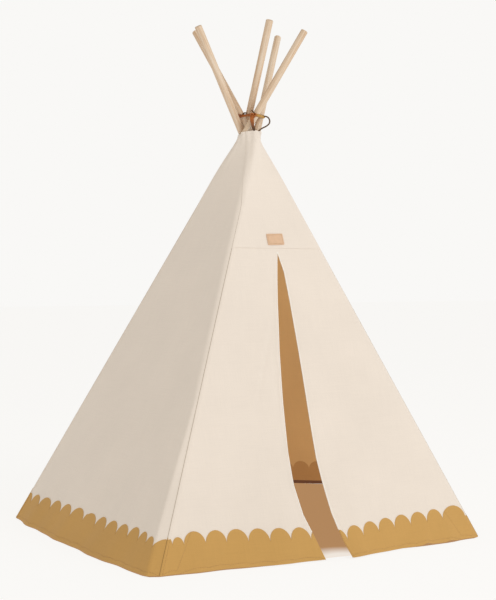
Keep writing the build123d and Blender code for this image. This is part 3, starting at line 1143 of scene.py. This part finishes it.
def tube_faces(rings, around, closed, flip=False):
    """Quads between rings of points, with flat ends where the tube doesn't close on itself."""
    faces = []
    for k in range(rings if closed else rings - 1):
        for i in range(around):
            a, b = k * around + i, k * around + (i + 1) % around
            c, d = ((k + 1) % rings) * around + (i + 1) % around, ((k + 1) % rings) * around + i
            faces.append((a, d, c, b))
    if not closed:
        faces += [tuple(range(around)), tuple((rings - 1) * around + i for i in reversed(range(around)))]
    return [tuple(reversed(f)) for f in faces] if flip else faces


def tube_object(name, points, rings, closed, material, flip=False):
    faces = tube_faces(rings, len(points) // rings, closed, flip)
    return mesh_object(name, points, faces, np.zeros((len(points), 2)), material)


def lace_outline(z, extra):
    poles = np.array([pole_at(p, z)[:2] for p in LACE_POLES])
    reach = UNIT @ poles.T
    return poles[reach.argmax(axis=1)] + UNIT * (LACE_CLEAR + extra)


def make_lace_ring():
    """A flat thong round four poles, with rounded edges and a slightly wavy lie."""
    rim = [(-1, 0.15), (-0.8, 0.85), (-0.3, 1.0), (0.3, 1.0), (0.8, 0.85), (1, 0.15), (0.8, 0.0), (-0.8, 0.0)]
    outline = lace_outline(LACE_Z, 0)
    along = lengths_along(outline)
    count = 150
    at = np.linspace(0, along[-1], count, endpoint=False)
    points = []
    for k, s in enumerate(at):
        tilt = 0.0012 * math.sin(2 * math.pi * k / count * 2 + 0.6)
        across = float(np.interp(s, along, outline[:, 0]))
        drop = 0.0036 * float(smooth(-0.03, 0.02, across))
        thin = 0.0020 * float(smooth(-0.004, 0.012, across))
        for h, t in rim:
            z = LACE_Z + tilt - drop + h * (LACE_HALF_H - thin)
            ring = lace_outline(z, t * LACE_T)
            x, y = (float(np.interp(s, along, ring[:, i])) for i in (0, 1))
            points.append((x, y, z))
    on_body(tube_object("lace_ring", points, count, True, LACE_LEATHER), "crown", "lace_leather", "lace_wrap")


def strap_mesh(name, path, half_width, half_thick, closed, material):
    """A flat strap swept along points."""
    path = np.asarray(path, float)
    around = 10
    way = np.roll(path, -1, 0) - np.roll(path, 1, 0) if closed else np.gradient(path, axis=0)
    way = unit(way)
    side = unit(np.cross(way, path - KNOT_AT))
    out = np.cross(side, way)
    points = []
    for k in range(len(path)):
        for i in range(around):
            a = 2 * math.pi * i / around
            points.append(path[k] + side[k] * half_width * math.cos(a) + out[k] * half_thick * math.sin(a))
    return tube_object(name, points, len(path), closed, material)


def make_tail_tab():
    """The tail starts as a wide tab of leather and narrows downwards."""
    path = np.array([(-0.0092, -0.0446, 1.1420), (-0.0104, -0.0452, 1.1350), (-0.0098, -0.0450, 1.1270),
                     (-0.0074, -0.0436, 1.1170), (-0.0046, -0.0415, 1.1075), (-0.0014, -0.0398, 1.0990)])
    half = np.array([0.0036, 0.0050, 0.0054, 0.0046, 0.0040, 0.0028])
    share, fine = np.linspace(0, 1, len(path)), np.linspace(0, 1, 40)
    line = np.stack([np.interp(fine, share, path[:, k]) for k in range(3)], axis=1)
    for _ in range(6):
        line[1:-1] = (line[:-2] + line[1:-1] * 2 + line[2:]) / 4
    width = np.interp(fine, share, half)
    across = np.array([0.92, -0.39, 0.0])
    around = 12
    points = []
    for centre, w in zip(line, width):
        for i in range(around):
            a = 2 * math.pi * i / around
            out = np.array([-0.39, -0.92, 0.0]) * math.sin(a) * 0.0009
            points.append(centre + across * w * math.cos(a) + out)
    tab = tube_object("lace_tail_tab", points, len(line), False, LACE_LEATHER, True)
    on_body(tab, "crown", "lace_leather")


def make_wrap_ends():
    """Two short ends of thong tucked behind the lace."""
    ends = {
        "lace_end_left": [(-0.0205, -0.0045, 1.1500), (-0.0175, -0.0105, 1.1522), (-0.0140, -0.0175, 1.1512)],
        "lace_end_right": [(-0.0055, -0.0350, 1.1565), (-0.0030, -0.0385, 1.1520), (0.0000, -0.0425, 1.1460)],
    }
    for name, path in ends.items():
        on_body(strap_mesh(name, path, 0.0026, 0.0018, False, THONG_LEATHER), "crown", "lace_leather")


def make_knot():
    t = np.linspace(0, 2 * math.pi, 96, endpoint=False)
    x = (np.sin(t) + 2 * np.sin(2 * t)) / 3
    z = (np.cos(t) - 2 * np.cos(2 * t)) / 3
    y = -np.sin(3 * t)
    path = KNOT_AT + np.stack([x * 0.0082, y * 0.0030 - 0.0014, z * 0.0070], axis=1)
    knot = strap_mesh("lace_knot_body", path, 0.0030, 0.0015, True, LACE_LEATHER)
    on_body(knot, "crown", "lace_leather", "lace_knot")


def make_cord(name, route, node_name):
    curve = bpy.data.curves.new(name, "CURVE")
    curve.dimensions = "3D"
    curve.bevel_depth = CORD_D / 2
    curve.bevel_resolution = 4
    curve.resolution_u = 16
    curve.use_fill_caps = True
    spline = curve.splines.new("NURBS")
    spline.points.add(len(route) - 1)
    for point, co in zip(spline.points, route):
        point.co = (*co, 1)
    spline.order_u = 3
    spline.use_endpoint_u = True
    curve.materials.append(THONG_LEATHER)
    obj = link(bpy.data.objects.new(name, curve))
    on_body(obj, "crown", "lace_leather", node_name)


# ---------------------------------------------------------------- everything
for wall_name in WALLS:
    for half_side in "ab":
        make_half(wall_name, half_side)
    corner = f"{WALLS[wall_name][0]}_corner_seam"
    change = band_top_at(WALLS[wall_name][0]) - 0.0005
    above = np.concatenate([[change], ROWS[ROWS > change + 0.002]])
    below = np.concatenate([ROWS[ROWS < change - 0.002], [change]])
    seam_roll(corner, wall_name, above, False)
    seam_roll(f"{corner}_low", wall_name, below, True)
for hand_name in ("left", "right"):
    make_flap(hand_name)
for pole_name in POLES:
    make_sleeve(pole_name)
make_crown()
make_label()
make_lace_ring()
make_knot()
make_tail_tab()
make_wrap_ends()
make_cord("lace_loop_thong", LOOP_ROUTE, "lace_loop")
make_cord("lace_tail_thong", TAIL_ROUTE, "lace_tail")
for number, pole_name in enumerate(POLES):
    wood = frame["nodes"][f"{pole_name}_pole"]
    wood.data.materials.clear()
    wood.data.materials.append(pine(f"{pole_name}_pine", pole_axis(pole_name)[1], number + 1))


# ---------------------------------------------------------------- floor, world and lights
SKY = 0.655
FLOOR_GLOW = 0.895
# Where the painted light on the floor under the tent is palest, by the door.
DOOR_SPOT = (0.03, -0.50, 0)


def stage_floor(name, points, z, t, **shades):
    t.shade(Roughness=1.0, Specular_IOR_Level=0.0, **shades)
    floor = mesh_object(name, points, [tuple(range(len(points)))], np.zeros((len(points), 2)), t.mat)
    floor.location.z = z


def add_floor():
    """A pale studio floor that reads as one with the backdrop."""
    corners = [(-60, -60, 0), (60, -60, 0), (60, 60, 0), (-60, 60, 0)]
    stage_floor("studio_floor", corners, -0.0012, Tree("studio_floor"), Base_Color=(0.14, 0.14, 0.14, 1),
                Emission_Color=srgb("f9f8f6"), Emission_Strength=FLOOR_GLOW)


def add_inside_floor():
    """The floor under the tent glows with painted light: warm tan as from light that comes through the cover,
    and pale at the door.
    """
    t = Tree("shaded_floor")
    away = t.add("VectorMath", {0: t.place("Object"), 1: DOOR_SPOT}, operation="DISTANCE")
    ramp = t.add("ValToRGB", {0: away.outputs["Value"]})
    for stop, place, code in zip(ramp.color_ramp.elements, (0.050, 0.120), ("f4ebe1", "b58a60")):
        stop.position = place
        stop.color = srgb(code)
    ring = []
    for wall in WALLS:
        reach = (seam_u(wall, "a", HEM_Z), seam_u(wall, "b", HEM_Z))
        ring.append(u_row(wall, HEM_Z, np.linspace(-reach[0] + 0.002, reach[1] - 0.002, 40), 0.001)[:, :2])
    points = [(x, y, 0) for x, y in np.concatenate(ring)]
    stage_floor("shaded_floor", points, -0.0006, t, Base_Color=(0.05, 0.04, 0.03, 1),
                Emission_Color=ramp.outputs[0], Emission_Strength=0.93)


def add_light(name, place, target, size, power, colour=(1, 1, 1)):
    data = bpy.data.lights.new(name, "AREA")
    data.shape = "DISK"
    data.size = size
    data.energy = power
    data.color = colour
    lamp = link(bpy.data.objects.new(name, data))
    lamp.location = place
    lamp.rotation_mode = "QUATERNION"
    lamp.rotation_quaternion = (Vector(target) - Vector(place)).to_track_quat("-Z", "Y")
    return lamp


def add_inside_light():
    """Daylight through the front cloth: it falls on the other walls' lining, and only the floor stops it."""
    receivers = bpy.data.collections.new("lit_through_the_cloth")
    for obj in bpy.context.scene.objects:
        if obj.name.endswith("_inside") and "wall_by" in obj.name:
            receivers.objects.link(obj)
    blockers = bpy.data.collections.new("stops_the_daylight")
    blockers.objects.link(bpy.data.objects["studio_floor"])
    lamp = add_light("through_the_cloth", (0.2, -2.2, 0.50), (0.0, 0.5, 0.35), 1.0, 38, (1.0, 0.93, 0.85))
    lamp.visible_camera = False
    lamp.light_linking.receiver_collection = receivers
    lamp.light_linking.blocker_collection = blockers


def add_world():
    world = bpy.data.worlds.new("studio")
    bpy.context.scene.world = world
    world.use_nodes = True
    nodes, links = world.node_tree.nodes, world.node_tree.links
    lit = nodes["Background"]
    lit.inputs["Color"].default_value = (1.0, 0.955, 0.885, 1)
    lit.inputs["Strength"].default_value = SKY
    seen = nodes.new("ShaderNodeBackground")
    seen.inputs["Color"].default_value = srgb("f9f8f6")
    path = nodes.new("ShaderNodeLightPath")
    mix = nodes.new("ShaderNodeMixShader")
    links.new(path.outputs["Is Camera Ray"], mix.inputs[0])
    links.new(lit.outputs[0], mix.inputs[1])
    links.new(seen.outputs[0], mix.inputs[2])
    links.new(mix.outputs[0], nodes["World Output"].inputs["Surface"])


add_floor()
add_inside_floor()
add_world()
add_inside_light()
add_light("key", (2.2, -4.4, 3.0), (0, 0, 0.5), 2.4, 84, (0.97, 1.0, 1.04))
bpy.context.scene.view_settings.view_transform = "Standard"
